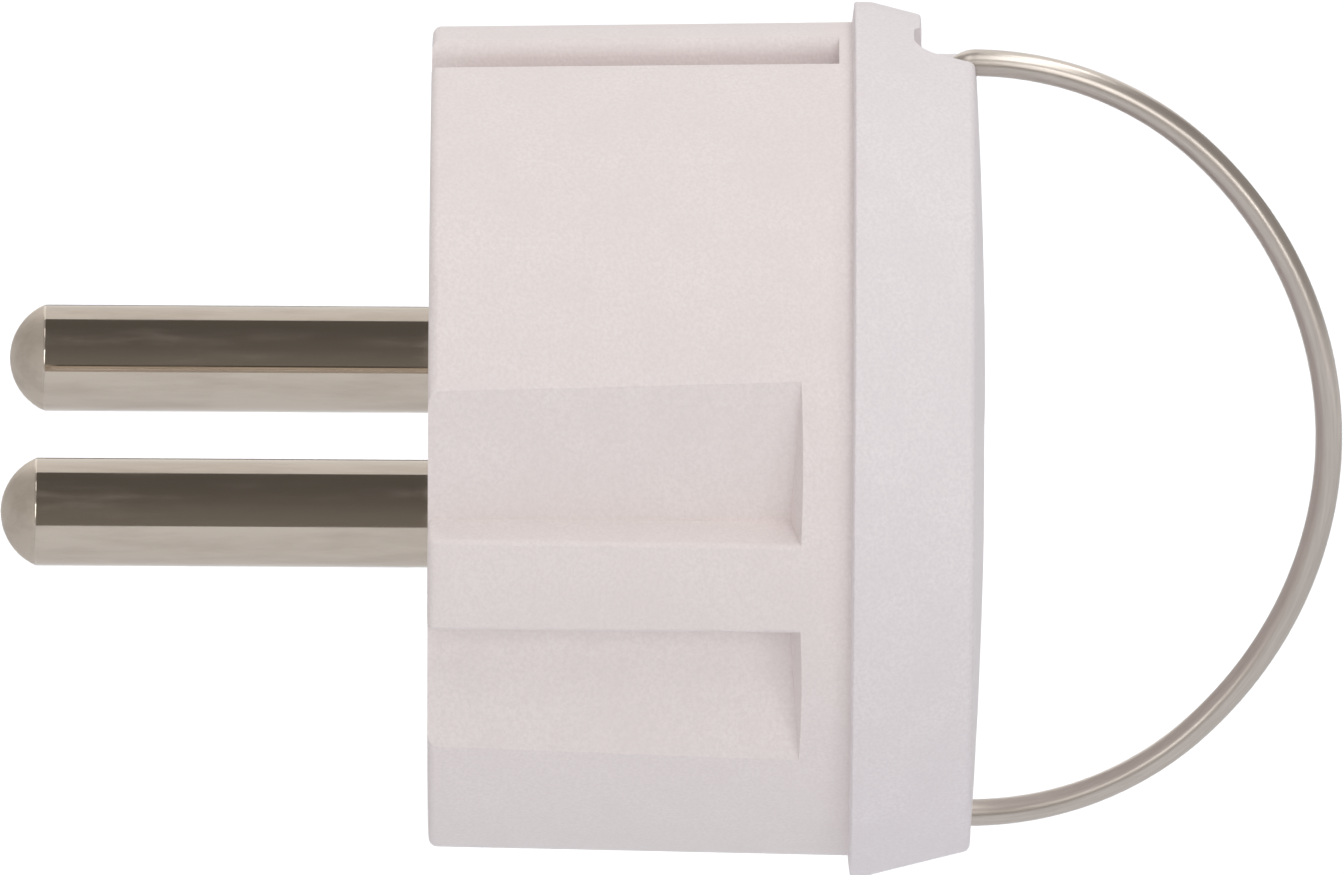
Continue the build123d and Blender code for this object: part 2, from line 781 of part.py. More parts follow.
def fusible_resistor():
    """A standing resistor: one lead below, the other bent over from its top to the board."""
    radius = resistor_diameter / 2
    waist = radius - resistor_waist
    cap = resistor_cap_length
    profile = Polyline(
        (0, 0), (radius, 0), (radius, -cap), (waist, -cap),
        (waist, cap - resistor_length), (radius, cap - resistor_length),
        (radius, -resistor_length), (0, -resistor_length), close=True,
    )
    foot = board_rear + resistor_lift
    (x, z), (_, over_z) = resistor_leads
    body = Pos(x, -foot, z) * spun(profile)
    top = foot + resistor_length
    crest = top + resistor_bend_rise
    bent = FilletPolyline(
        (x, -top, z), (x, -crest, z), (x, -crest, over_z), (x, lead_stub - board_depth, over_z),
        radius=resistor_bend_radius,
    )
    section = Plane((x, -top, z), z_dir=(0, -1, 0)) * Circle(lead_radius)
    lower = rod(x, z, lead_radius, board_depth - lead_stub, foot)
    return body + sweep(section, path=bent) + lower


def leaded_package(place, size, leads_per_side):
    """A moulded chip on the board's front face with gull-wing leads above and below."""
    width, depth, height = size
    x, z = place
    middle = board_depth - height / 2
    block = extrude(
        at_depth(middle) * Pos(x, z) * Rectangle(width, depth),
        amount=height / 2 - gull_thickness, both=True, taper=package_draft,
    )
    knee = gull_reach / 2
    half = gull_thickness / 2
    edge = depth / 2 - gull_thickness
    foot = depth / 2 + gull_reach
    line = [
        (edge, middle - half), (depth / 2 + knee, middle - half),
        (depth / 2 + knee, board_depth - gull_thickness), (foot, board_depth - gull_thickness),
        (foot, board_depth), (depth / 2 + knee - gull_thickness, board_depth),
        (depth / 2 + knee - gull_thickness, middle + half), (edge, middle + half),
    ]
    profile = make_face(Polyline(*[(-depth_at, reach) for reach, depth_at in line], close=True))
    first = -(leads_per_side - 1) / 2 * gull_pitch
    for index in range(leads_per_side):
        lead = extrude(Plane.YZ * profile, amount=gull_width / 2, both=True)
        upper = Pos(x + first + index * gull_pitch, 0, 0) * lead
        for shape in both_ends(upper):
            block = block + Pos(0, 0, z) * shape
    return block


def output_diode():
    """A block rectifier with a folded strap at each end."""
    width, depth, height = diode_size
    x, z = diode_place
    strap = diode_strap_thickness
    block = extrude(
        at_depth(board_depth - strap) * Pos(x, z) * Rectangle(width, depth),
        amount=strap - height, taper=diode_draft,
    )
    fold = Rectangle(diode_strap_width, gull_reach)
    strap_end = board_depth - height / 2
    for side in (-1, 1):
        foot_z = z + side * (depth / 2 - gull_reach / 2 + strap)
        wall_z = z + side * (depth / 2 + strap / 2)
        wall = Rectangle(diode_strap_width, strap)
        block = block + prism(Pos(x, foot_z) * fold, board_depth - strap, board_depth)
        block = block + prism(Pos(x, wall_z) * wall, strap_end, board_depth)
    return block


def chip_parts(places, height):
    """Small ceramic parts with metal end caps, flat on the board's front face."""
    rise = chip_part_cap_rise
    middle = Rectangle(chip_part_length - chip_part_cap, chip_part_width)
    cap = Rectangle(chip_part_cap, chip_part_width + 2 * rise)
    cap_x = (chip_part_length - chip_part_cap) / 2
    parts = []
    for x, z in places:
        part = prism(Pos(x, z) * middle, board_depth - height, board_depth - rise)
        for side in (-1, 1):
            end = Pos(x + side * cap_x, z) * cap
            part = part + prism(end, board_depth - height - rise, board_depth)
        parts.append(part)
    return Compound([solid for part in parts for solid in part.solids()])


nodes = {
    "front_shell": front_shell(),
    "rear_cover": rear_cover(),
    "left_pin": contact_pin(-pin_spacing / 2),
    "right_pin": contact_pin(pin_spacing / 2),
    "pin_retainer": pin_retainer(),
    "pull_bail": pull_bail(),
    "circuit_board": circuit_board(),
    "usb_shell": usb_shell(),
    "usb_insulator": usb_insulator(),
    "usb_contacts": usb_contacts(),
    "core_front": core_half(),
    "core_rear": core_rear(),
    "bobbin": bobbin(),
    "winding": winding(),
    "input_capacitor_left": radial_capacitor(
        -input_capacitor_place, input_capacitor_rise, input_capacitor_diameter,
        input_capacitor_height, input_capacitor_left_leads,
    ),
    "input_capacitor_right": radial_capacitor(
        input_capacitor_place, input_capacitor_rise, input_capacitor_diameter,
        input_capacitor_height, input_capacitor_right_leads,
    ),
    "output_capacitor": radial_capacitor(
        output_capacitor_place, side_component_place, output_capacitor_diameter,
        output_capacitor_height, output_capacitor_leads,
    ),
    "filter_choke": filter_choke(),
    "safety_capacitor": safety_capacitor(),
    "fusible_resistor": fusible_resistor(),
    "bridge_rectifier": leaded_package(bridge_place, bridge_size, 2),
    "control_chip": leaded_package(chip_place, chip_size, 4),
    "output_diode": output_diode(),
    "chip_resistors": chip_parts(chip_resistor_places, chip_resistor_height),
    "chip_capacitors": chip_parts(chip_capacitor_places, chip_capacitor_height),
}

os.makedirs("parts", exist_ok=True)
for name, shape in nodes.items():
    export_step(shape, f"parts/{name}.step")
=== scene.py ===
import json
import math

import bpy
import numpy as np
from mathutils import Matrix, Vector


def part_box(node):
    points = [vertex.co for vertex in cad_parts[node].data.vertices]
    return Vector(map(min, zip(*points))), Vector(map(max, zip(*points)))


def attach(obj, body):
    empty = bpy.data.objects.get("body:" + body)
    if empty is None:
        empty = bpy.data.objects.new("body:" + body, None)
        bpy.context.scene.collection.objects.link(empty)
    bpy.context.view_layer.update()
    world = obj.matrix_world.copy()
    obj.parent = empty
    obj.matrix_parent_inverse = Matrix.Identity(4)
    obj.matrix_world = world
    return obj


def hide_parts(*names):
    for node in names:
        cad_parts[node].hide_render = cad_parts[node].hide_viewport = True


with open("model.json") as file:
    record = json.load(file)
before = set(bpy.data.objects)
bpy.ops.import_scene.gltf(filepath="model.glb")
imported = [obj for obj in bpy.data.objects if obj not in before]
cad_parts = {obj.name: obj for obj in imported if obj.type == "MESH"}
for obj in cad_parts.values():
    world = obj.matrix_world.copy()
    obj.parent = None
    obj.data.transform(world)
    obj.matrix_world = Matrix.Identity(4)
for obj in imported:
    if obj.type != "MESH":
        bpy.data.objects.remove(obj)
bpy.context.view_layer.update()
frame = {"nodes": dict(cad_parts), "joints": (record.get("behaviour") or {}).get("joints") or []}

bl_info = {
    "name": "Plug Adapter with Pull Loop",
    "version": (1, 0, 0),
    "blender": (4, 5, 0),
    "location": "3D View > Sidebar > Plug Adapter",
    "description": "Dresses a round plug adapter, draws its wire pull loop and sets a studio stage",
    "category": "Object",
}

MM = 0.001

# Points along each stretch of the wire's line, round the wire and along each side of the floor.
LEG_POINTS = 8
BEND_POINTS = 12
ARC_POINTS = 90
WIRE_SIDES = 40
FLOOR_POINTS = 9

# Place, and width and height, of each light in metres. The front and overhead softboxes are given
# for the left and stand on both sides, clear of the plane that the pins mirror.
BACK_PANEL_PLACE = (1.5, 0.0, 1.0)
BACK_PANEL_SIZE = (2.2, 2.3)
FRONT_BOX_PLACE = (-1.7, 0.6, 0.85)
FRONT_BOX_SIZE = (0.85, 1.1)
OVER_BOX_PLACE = (-0.75, 0.5, 1.9)
OVER_BOX_SIZE = (1.5, 0.65)
TOP_BOX_PLACE = (0.33, -0.5, 1.4)
TOP_BOX_SIZE = (0.5, 0.5)
LEFT_STRIP_PLACE = (-1.5, 0.87, 0.6)
LEFT_STRIP_SIZE = (0.25, 1.0)
RIGHT_STRIP_PLACE = (-1.2, -1.05, 0.2)
RIGHT_STRIP_SIZE = (0.3, 0.6)

# The spot above the floor, and how far the camera sees, in metres.
FLOOR_SPOT_HEIGHT = 1.0
FLOOR_SPOT_RADIUS = 0.1
FLOOR_SPOT_BEAM = math.radians(26)
CAMERA_REACH = 50.0

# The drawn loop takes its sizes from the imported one.
HINGE = Vector(frame["joints"][0]["pos_m"])
LOOP_LOW, LOOP_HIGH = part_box("pull_bail")
WIRE_RADIUS = (LOOP_HIGH.x - LOOP_LOW.x) / 2
LOOP_HALF_WIDTH = LOOP_HIGH.z - WIRE_RADIUS
LOOP_REACH = HINGE.y - LOOP_LOW.y - WIRE_RADIUS


def linear(hex_colour):
    """A #RRGGBB sRGB colour as linear RGBA."""
    srgb = np.array([int(hex_colour[i:i + 2], 16) for i in (1, 3, 5)]) / 255
    low = srgb / 12.92
    high = ((srgb + 0.055) / 1.055) ** 2.4
    return (*np.where(srgb <= 0.04045, low, high), 1.0)


def scale_of(size):
    """The texture scale, on Object coordinates in metres, of a pattern that repeats every size."""
    return 1.0 / size


def colour_property(label, hex_colour, description):
    """A colour that the sidebar can change, given as sRGB hex."""
    return bpy.props.FloatVectorProperty(
        name=label, description=description, subtype="COLOR", size=4, min=0.0, max=1.0,
        default=linear(hex_colour),
    )


class HousingLook(bpy.types.PropertyGroup):
    """Colours and grain of the two white mouldings."""

    shell_colour: colour_property("Shell", "#F3EBEA", "Warm white of the front shell")
    # Each shade colour tints the random deeper patches and also paints shade into the grain's
    # hollows.
    shell_patch_and_pit_shade: colour_property("Shell shade", "#E8DFDE", "Slightly deeper patches of the shell")
    cover_colour: colour_property("Cover", "#F2ECEE", "Cool white of the rear cover")
    cover_patch_and_pit_shade: colour_property("Cover shade", "#E6DFE2", "Slightly deeper patches of the cover")
    # The grain is coarser than a real one, so that it shows in the picture.
    grain_width: bpy.props.FloatProperty(
        name="Grain width", description="Width of one grain of the mould's texture",
        subtype="DISTANCE", unit="LENGTH", default=0.16 * MM, min=0.02 * MM, precision=5,
    )
    grain_depth: bpy.props.FloatProperty(
        name="Grain depth", description="Height of the mould's texture",
        subtype="DISTANCE", unit="LENGTH", default=0.02 * MM, min=0.0, precision=5,
    )
    roughness: bpy.props.FloatProperty(
        name="Roughness", description="How matte the mouldings are", subtype="FACTOR",
        default=0.55, min=0.0, max=1.0,
    )


class MetalLook(bpy.types.PropertyGroup):
    """The plated pins and the drawn wire."""

    nickel: colour_property("Nickel", "#D0C5B8", "Clean nickel plate")
    nickel_dull: colour_property("Dull nickel", "#C1B5A8", "Handled and slightly dulled plate")
    tip_length: bpy.props.FloatProperty(
        name="Tip length", description="Length of each pin's dull formed tip",
        subtype="DISTANCE", unit="LENGTH", default=1.6 * MM, min=0.0,
    )
    wire: colour_property("Wire", "#DAD2CA", "Plated wire")
    wire_dull: colour_property("Dull wire", "#B7ADA4", "Draw marks along the wire")
    shoulder_radius: bpy.props.FloatProperty(
        name="Shoulder radius", description="Bend radius of the loop beside the cover",
        subtype="DISTANCE", unit="LENGTH", default=14.5 * MM, min=1.0 * MM,
    )
    end_bend_radius: bpy.props.FloatProperty(
        name="End bend radius", description="Bend radius where the wire turns into the cover",
        subtype="DISTANCE", unit="LENGTH", default=0.8 * MM, min=0.1 * MM,
    )
    leg_length: bpy.props.FloatProperty(
        name="Leg length", description="Straight wire inside the cover, from the end bend",
        subtype="DISTANCE", unit="LENGTH", default=2.1 * MM, min=0.1 * MM,
    )


class StageLook(bpy.types.PropertyGroup):
    """Camera, lights and floor."""

    elevation: bpy.props.FloatProperty(
        name="Elevation", description="Camera height above the plug's axis", subtype="ANGLE",
        unit="ROTATION", default=math.radians(21.2),
    )
    roll: bpy.props.FloatProperty(
        name="Roll", description="Turn of the camera about its view", subtype="ANGLE",
        unit="ROTATION", default=math.radians(0.32),
    )
    distance: bpy.props.FloatProperty(
        name="Distance", description="Camera to aim point", subtype="DISTANCE", unit="LENGTH",
        default=1.4, min=0.1,
    )
    view_width: bpy.props.FloatProperty(
        name="View width", description="Width of the picture at the aim point",
        subtype="DISTANCE", unit="LENGTH", default=59.95 * MM, min=1.0 * MM,
    )
    aim: bpy.props.FloatVectorProperty(
        name="Aim", description="Point in the middle of the picture", subtype="TRANSLATION",
        unit="LENGTH", default=(0.0, -10.74 * MM, 0.01 * MM),
    )
    floor_drop: bpy.props.FloatProperty(
        name="Floor drop", description="Height of the plug's axis above the floor",
        subtype="DISTANCE", unit="LENGTH", default=150 * MM, min=1.0 * MM,
    )
    floor_front: bpy.props.FloatProperty(
        name="Floor front", description="How far the floor runs from the plug towards the camera",
        subtype="DISTANCE", unit="LENGTH", default=1.0, min=0.1,
    )
    floor_back: bpy.props.FloatProperty(
        name="Floor back", description="How far the floor runs behind and beside the plug",
        subtype="DISTANCE", unit="LENGTH", default=6.0, min=0.1,
    )
    floor_colour: colour_property("Floor", "#F3F5FA", "Pale studio floor")
    floor_shade: colour_property("Floor shade", "#EEF0F5", "Slightly deeper clouds of the floor")
    wall_gap: bpy.props.FloatProperty(
        name="Wall gap", description="Distance of each light wall from the plug",
        subtype="DISTANCE", unit="LENGTH", default=0.2, min=0.1,
    )
    wall_length: bpy.props.FloatProperty(
        name="Wall length", description="Length of each light wall, from camera to back",
        subtype="DISTANCE", unit="LENGTH", default=5.0, min=0.1,
    )
    wall_foot: bpy.props.FloatProperty(
        name="Wall foot", description="How far the light walls reach below the plug's axis",
        subtype="DISTANCE", unit="LENGTH", default=65 * MM, min=0.0,
    )
    wall_height: bpy.props.FloatProperty(
        name="Wall height", description="Height of each light wall",
        subtype="DISTANCE", unit="LENGTH", default=3.0, min=0.1,
    )
    left_light: bpy.props.FloatProperty(
        name="Left wall", description="Power of the light wall on the pins' side",
        subtype="POWER", default=14.0, min=0.0,
    )
    right_light: bpy.props.FloatProperty(
        name="Right wall", description="Power of the light wall on the loop's side",
        subtype="POWER", default=9.0, min=0.0,
    )
    key_light: bpy.props.FloatProperty(
        name="Key light", description="Power of the softbox right of the camera",
        subtype="POWER", default=5.9, min=0.0,
    )
    fill_light: bpy.props.FloatProperty(
        name="Fill light", description="Power of the softbox left of the camera",
        subtype="POWER", default=2.5, min=0.0,
    )
    over_ratio: bpy.props.FloatProperty(
        name="Overhead ratio", description="Power of each overhead softbox against the one in front",
        default=1.35, min=0.0,
    )
    top_light: bpy.props.FloatProperty(
        name="Top light", description="Power of the small softbox above the loop's side",
        subtype="POWER", default=2.8, min=0.0,
    )
    floor_light: bpy.props.FloatProperty(
        name="Floor light", description="Power of the spot above the floor behind the plug",
        subtype="POWER", default=22.5, min=0.0,
    )
    back_light: bpy.props.FloatProperty(
        name="Back light", description="Power of the panel behind", subtype="POWER",
        default=11.2, min=0.0,
    )
    room_colour: colour_property("Room", "#FFF7EC", "Warm white of the room's light")
    room_light: bpy.props.FloatProperty(
        name="Room light", description="Strength of the room's light at the horizon",
        default=0.22, min=0.0,
    )
    ceiling_light: bpy.props.FloatProperty(
        name="Ceiling light", description="Strength of the room's light straight above",
        default=0.118, min=0.0,
    )
    strip_light: bpy.props.FloatProperty(
        name="Strip light", description="Power of each narrow strip beside the camera",
        subtype="POWER", default=1.5, min=0.0,
    )


class AdapterSettings(bpy.types.PropertyGroup):
    """All settings of the adapter's looks."""

    housing: bpy.props.PointerProperty(type=HousingLook)
    metal: bpy.props.PointerProperty(type=MetalLook)
    stage: bpy.props.PointerProperty(type=StageLook)


def add_node(tree, kind, inputs, **settings):
    """Adds one shader node. Each input is a value, or the output socket that feeds it."""
    node = tree.nodes.new(kind)
    for name, value in settings.items():
        setattr(node, name, value)
    for name, value in inputs.items():
        if isinstance(value, bpy.types.NodeSocket):
            tree.links.new(value, node.inputs[name])
        else:
            node.inputs[name].default_value = value
    return node


def blank_material(name):
    """A new material with an empty node tree."""
    material = bpy.data.materials.new(name)
    material.use_nodes = True
    material.node_tree.nodes.clear()
    return material, material.node_tree


def close_material(tree, **sockets):
    """Ends a tree in a Principled shader; a socket's words are joined by underscores."""
    inputs = {name.replace("_", " "): value for name, value in sockets.items()}
    surface = add_node(tree, "ShaderNodeBsdfPrincipled", inputs)
    add_node(tree, "ShaderNodeOutputMaterial", {"Surface": surface.outputs["BSDF"]})


def moulded_abs(name, colour, shade, look):
    """ABS moulded in a spark-eroded tool: an even matte skin whose grain scatters highlights.

    Broad clouds shift the white very slightly. The grain is a height field, and its deeper hollows
    are tinted towards the shade colour as painted shade.
    """
    cloud_size = 2.5 * MM
    pit_rim, pit_floor = 0.65, 0.35
    material, tree = blank_material(name)
    place = add_node(tree, "ShaderNodeTexCoord", {}).outputs["Object"]
    clouds = add_node(
        tree, "ShaderNodeTexNoise", {"Vector": place, "Scale": scale_of(cloud_size), "Detail": 4.0}
    )
    clouded = add_node(
        tree, "ShaderNodeMixRGB",
        {"Fac": clouds.outputs["Fac"], "Color1": colour, "Color2": shade},
    )
    grain = add_node(
        tree, "ShaderNodeTexNoise",
        {"Vector": place, "Scale": scale_of(look.grain_width), "Detail": 2.0, "Roughness": 0.6},
    )
    # Painted shade: the grain's low hollows are tinted towards the shade colour, where shade would
    # fall.
    painted_pit_shade = add_node(
        tree, "ShaderNodeMapRange",
        {"Value": grain.outputs["Fac"], "From Min": pit_rim, "From Max": pit_floor},
    )
    tint = add_node(
        tree, "ShaderNodeMixRGB",
        {"Fac": painted_pit_shade.outputs["Result"], "Color1": clouded.outputs["Color"], "Color2": shade},
    )
    relief = add_node(
        tree, "ShaderNodeBump",
        {"Height": grain.outputs["Fac"], "Distance": look.grain_depth, "Strength": 1.0},
    )
    close_material(
        tree, Base_Color=tint.outputs["Color"], Roughness=look.roughness, IOR=1.53,
        Normal=relief.outputs["Normal"],
    )
    return material


def plated_pin(name, look):
    """Nickel plate on a turned brass pin: a clear mirror, streaked by sockets, with a dull tip.

    The streaks run along the pin and the turning rings round it.
    """
    streak_width, streak_squeeze = 0.9 * MM, 0.15
    clean, worn = 0.42, 0.72
    clean_roughness, worn_roughness, tip_roughness = 0.06, 0.14, 0.5
    tip_edge = 0.1 * MM
    # Coarser than the rings of a real tool, so that they show.
    ring_pitch, ring_depth = 0.3 * MM, 0.0002 * MM
    material, tree = blank_material(name)
    place = add_node(tree, "ShaderNodeTexCoord", {}).outputs["Object"]
    streaks = add_node(
        tree, "ShaderNodeMapping", {"Vector": place, "Scale": (1.0, streak_squeeze, 1.0)}
    )
    marks = add_node(
        tree, "ShaderNodeTexNoise",
        {
            "Vector": streaks.outputs["Vector"], "Scale": scale_of(streak_width),
            "Detail": 6.0, "Roughness": 0.65,
        },
    )
    wear = add_node(
        tree, "ShaderNodeMapRange",
        {"Value": marks.outputs["Fac"], "From Min": clean, "From Max": worn},
    )
    tint = add_node(
        tree, "ShaderNodeMixRGB",
        {"Fac": wear.outputs["Result"], "Color1": look.nickel, "Color2": look.nickel_dull},
    )
    gloss = add_node(
        tree, "ShaderNodeMapRange",
        {"Value": wear.outputs["Result"], "To Min": clean_roughness, "To Max": worn_roughness},
    )
    axes = add_node(tree, "ShaderNodeSeparateXYZ", {"Vector": place})
    tip_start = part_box("left_pin")[1].y - look.tip_length
    dulled = add_node(
        tree, "ShaderNodeMapRange",
        {
            "Value": axes.outputs["Y"], "From Min": tip_start, "From Max": tip_start + tip_edge,
            "To Min": gloss.outputs["Result"], "To Max": tip_roughness,
        },
    )
    rings = add_node(
        tree, "ShaderNodeTexWave",
        {
            "Vector": place, "Scale": scale_of(ring_pitch) / math.tau,
            "Distortion": 1.5, "Detail": 2.0,
        },
        wave_type="BANDS", bands_direction="Y",
    )
    relief = add_node(
        tree, "ShaderNodeBump",
        {"Height": rings.outputs["Fac"], "Distance": ring_depth, "Strength": 1.0},
    )
    close_material(
        tree, Base_Color=tint.outputs["Color"], Roughness=dulled.outputs["Result"], Metallic=1.0,
        Normal=relief.outputs["Normal"],
    )
    return material


def drawn_wire(name, look):
    """Plated steel wire: the die leaves fine straight lines along it, which blur its highlights.

    The map's first axis runs round the wire and its second along it, both in millimetres.
    """
    # Fewer lines than a real die leaves, so that they show.
    lines_per_mm, breaks_per_mm = 9.0, 0.35
    bright_roughness, dull_roughness = 0.24, 0.36
    line_depth = 0.0025 * MM
    material, tree = blank_material(name)
    chart = add_node(tree, "ShaderNodeTexCoord", {}).outputs["UV"]
    stretched = add_node(
        tree, "ShaderNodeMapping",
        {"Vector": chart, "Scale": (lines_per_mm, breaks_per_mm, 1.0)},
    )
    lines = add_node(
        tree, "ShaderNodeTexNoise",
        {"Vector": stretched.outputs["Vector"], "Scale": 1.0, "Detail": 4.0, "Roughness": 0.6},
    )
    tint = add_node(
        tree, "ShaderNodeMixRGB",
        {"Fac": lines.outputs["Fac"], "Color1": look.wire, "Color2": look.wire_dull},
    )
    gloss = add_node(
        tree, "ShaderNodeMapRange",
        {"Value": lines.outputs["Fac"], "To Min": bright_roughness, "To Max": dull_roughness},
    )
    relief = add_node(
        tree, "ShaderNodeBump",
        {"Height": lines.outputs["Fac"], "Distance": line_depth, "Strength": 1.0},
    )
    close_material(
        tree, Base_Color=tint.outputs["Color"], Roughness=gloss.outputs["Result"], Metallic=1.0,
        Normal=relief.outputs["Normal"],
    )
    return material


def mottled(name, colour, shade, patch_mm, roughness, metallic=0.0):
    """A finish whose two near colours lie in soft patches, with the patches also in relief."""
    patch_size = patch_mm * MM
    relief_share = 0.02
    material, tree = blank_material(name)
    place = add_node(tree, "ShaderNodeTexCoord", {}).outputs["Object"]
    patches = add_node(
        tree, "ShaderNodeTexNoise",
        {"Vector": place, "Scale": scale_of(patch_size), "Detail": 5.0, "Roughness": 0.6},
    )
    tint = add_node(
        tree, "ShaderNodeMixRGB",
        {"Fac": patches.outputs["Fac"], "Color1": linear(colour), "Color2": linear(shade)},
    )
    relief = add_node(
        tree, "ShaderNodeBump",
        {"Height": patches.outputs["Fac"], "Distance": relief_share * patch_size, "Strength": 1.0},
    )
    close_material(
        tree, Base_Color=tint.outputs["Color"], Roughness=roughness, Metallic=metallic,
        Normal=relief.outputs["Normal"],
    )
    return material


def studio_paint(name, look):
    """Matt emulsion on a studio floor: a pale, shadow-soft surface with faint roller clouds."""
    cloud_size = 40 * MM
    material, tree = blank_material(name)
    place = add_node(tree, "ShaderNodeTexCoord", {}).outputs["Object"]
    clouds = add_node(
        tree, "ShaderNodeTexNoise", {"Vector": place, "Scale": scale_of(cloud_size), "Detail": 3.0}
    )
    tint = add_node(
        tree, "ShaderNodeMixRGB",
        {"Fac": clouds.outputs["Fac"], "Color1": look.floor_colour, "Color2": look.floor_shade},
    )
    close_material(tree, Base_Color=tint.outputs["Color"], Roughness=0.8)
    return material


def dress(material, *nodes):
    """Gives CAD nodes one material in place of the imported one."""
    for name in nodes:
        slots = frame["nodes"][name].data.materials
        slots.clear()
        slots.append(material)


def mesh_piece(name, points, faces, chart=None):
    """A smooth-shaded mesh object from arrays: points (n, 3), quads (m, 4), a map (4m, 2)."""
    mesh = bpy.data.meshes.new(name)
    mesh.from_pydata(points.tolist(), [], faces.tolist())
    mesh.polygons.foreach_set("use_smooth", np.ones(len(mesh.polygons), bool))
    if chart is not None:
        mesh.uv_layers.new(name="chart").data.foreach_set("uv", chart.astype(np.float32).ravel())
    mesh.update()
    piece = bpy.data.objects.new(name, mesh)
    bpy.context.scene.collection.objects.link(piece)
    return piece


def grid_quads(rows, columns, wrap):
    """Quads of a grid of points; with wrap, the last column joins the first."""
    across = columns if wrap else columns - 1
    row, column = np.mgrid[0:rows - 1, 0:across]
    following = (column + 1) % columns
    corners = (
        row * columns + column, row * columns + following,
        (row + 1) * columns + following, (row + 1) * columns + column,
    )
    return np.stack(corners, axis=-1).reshape(-1, 4)


def arc(centre, radius, start, end, count):
    """Points (distance, height) of a circular arc: centre + radius * (cos a, sin a)."""
    angle = np.linspace(start, end, count)
    return np.array(centre) + radius * np.column_stack([np.cos(angle), np.sin(angle)])


def loop_centreline(look):
    """The wire's line in (distance behind the hinge, height), from its top end to its foot.

    A straight leg, a small end bend, a shoulder arc and half of the crown arc, each tangent to
    the one before it; the lower half is the same line upside down and in reverse.
    """
    bend = look.end_bend_radius
    shoulder = look.shoulder_radius
    rise = LOOP_HALF_WIDTH - shoulder
    run = LOOP_REACH - bend
    crown = (run ** 2 + rise ** 2 - shoulder ** 2) / (2 * (run - shoulder))
    crown_centre = LOOP_REACH - crown
    joint = math.atan2(rise, bend - crown_centre)
    leg_top = LOOP_HALF_WIDTH - bend
    leg_heights = np.linspace(leg_top - look.leg_length, leg_top, LEG_POINTS)
    leg = np.column_stack([np.zeros(LEG_POINTS), leg_heights])
    upper = np.vstack([
        leg[:-1],
        arc((bend, leg_top), bend, math.pi, math.pi / 2, BEND_POINTS)[:-1],
        arc((bend, rise), shoulder, math.pi / 2, joint, ARC_POINTS)[:-1],
        arc((crown_centre, 0.0), crown, joint, 0.0, ARC_POINTS),
    ])
    return np.vstack([upper, (upper[:-1] * (1, -1))[::-1]])


def swept_tube(line, radius, sides):
    """A round section carried along a plane line: p + r (cos a * n + sin a * x).

    n is the line's normal in its plane and x the plane's own normal, so no section twists. Two
    shrunken sections close each end. The map is (arc round the wire, length along it) in mm.
    """
    place = np.column_stack([np.zeros(len(line)), HINGE.y - line[:, 0], line[:, 1]])
    along = np.gradient(place, axis=0)
    along /= np.linalg.norm(along, axis=1)[:, None]
    side = np.array([1.0, 0.0, 0.0])
    normal = np.cross(side, along)
    angle = np.linspace(0, math.tau, sides, endpoint=False)
    spokes = (
        np.cos(angle)[None, :, None] * normal[:, None, :]
        + np.sin(angle)[None, :, None] * side
    )
    closing = np.array([1e-4, 0.85])
    spread = radius * np.concatenate([closing, np.ones(len(line)), closing[::-1]])
    order = np.concatenate([[0, 0], np.arange(len(line)), [-1, -1]])
    points = place[order][:, None, :] + spread[:, None, None] * spokes[order]
    length = np.concatenate([[0], np.cumsum(np.linalg.norm(np.diff(place, axis=0), axis=1))])
    quads = grid_quads(len(order), sides, wrap=True)
    turn = np.column_stack([np.arange(sides), np.arange(1, sides + 1)]) * math.tau / sides
    around = np.tile(turn[:, [0, 1, 1, 0]], (len(order) - 1, 1)) * radius / MM
    steps = length[order] / MM
    ends = np.column_stack([steps[:-1], steps[:-1], steps[1:], steps[1:]])
    lengthwise = np.repeat(ends, sides, axis=0)
    chart = np.stack([around, lengthwise], axis=-1).reshape(-1, 2)
    return points.reshape(-1, 3), quads, chart


class ADAPTER_OT_housing(bpy.types.Operator):
    """Give the front shell and the rear cover their moulded white plastics"""

    bl_idname = "adapter.housing"
    bl_label = "Dress Housing"

    def execute(self, context):
        look = context.scene.adapter.housing
        shell = moulded_abs("moulded_abs_warm_white", look.shell_colour, look.shell_patch_and_pit_shade, look)
        cover = moulded_abs("moulded_abs_cool_white", look.cover_colour, look.cover_patch_and_pit_shade, look)
        dress(shell, "front_shell")
        dress(cover, "rear_cover")
        return {"FINISHED"}


class ADAPTER_OT_pins(bpy.types.Operator):
    """Give the contact pins their nickel plate"""

    bl_idname = "adapter.pins"
    bl_label = "Dress Pins"

    def execute(self, context):
        dress(plated_pin("nickel_plated_brass", context.scene.adapter.metal), "left_pin", "right_pin")
        return {"FINISHED"}


class ADAPTER_OT_pull_loop(bpy.types.Operator):
    """Draw the wire pull loop as one smooth tube on its hinge"""

    bl_idname = "adapter.pull_loop"
    bl_label = "Build Pull Loop"

    def execute(self, context):
        look = context.scene.adapter.metal
        points, quads, chart = swept_tube(loop_centreline(look), WIRE_RADIUS, WIRE_SIDES)
        loop = mesh_piece("pull_loop_wire", points, quads, chart)
        loop.data.materials.append(drawn_wire("nickel_plated_drawn_wire", look))
        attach(loop, "bail")
        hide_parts("pull_bail")
        return {"FINISHED"}


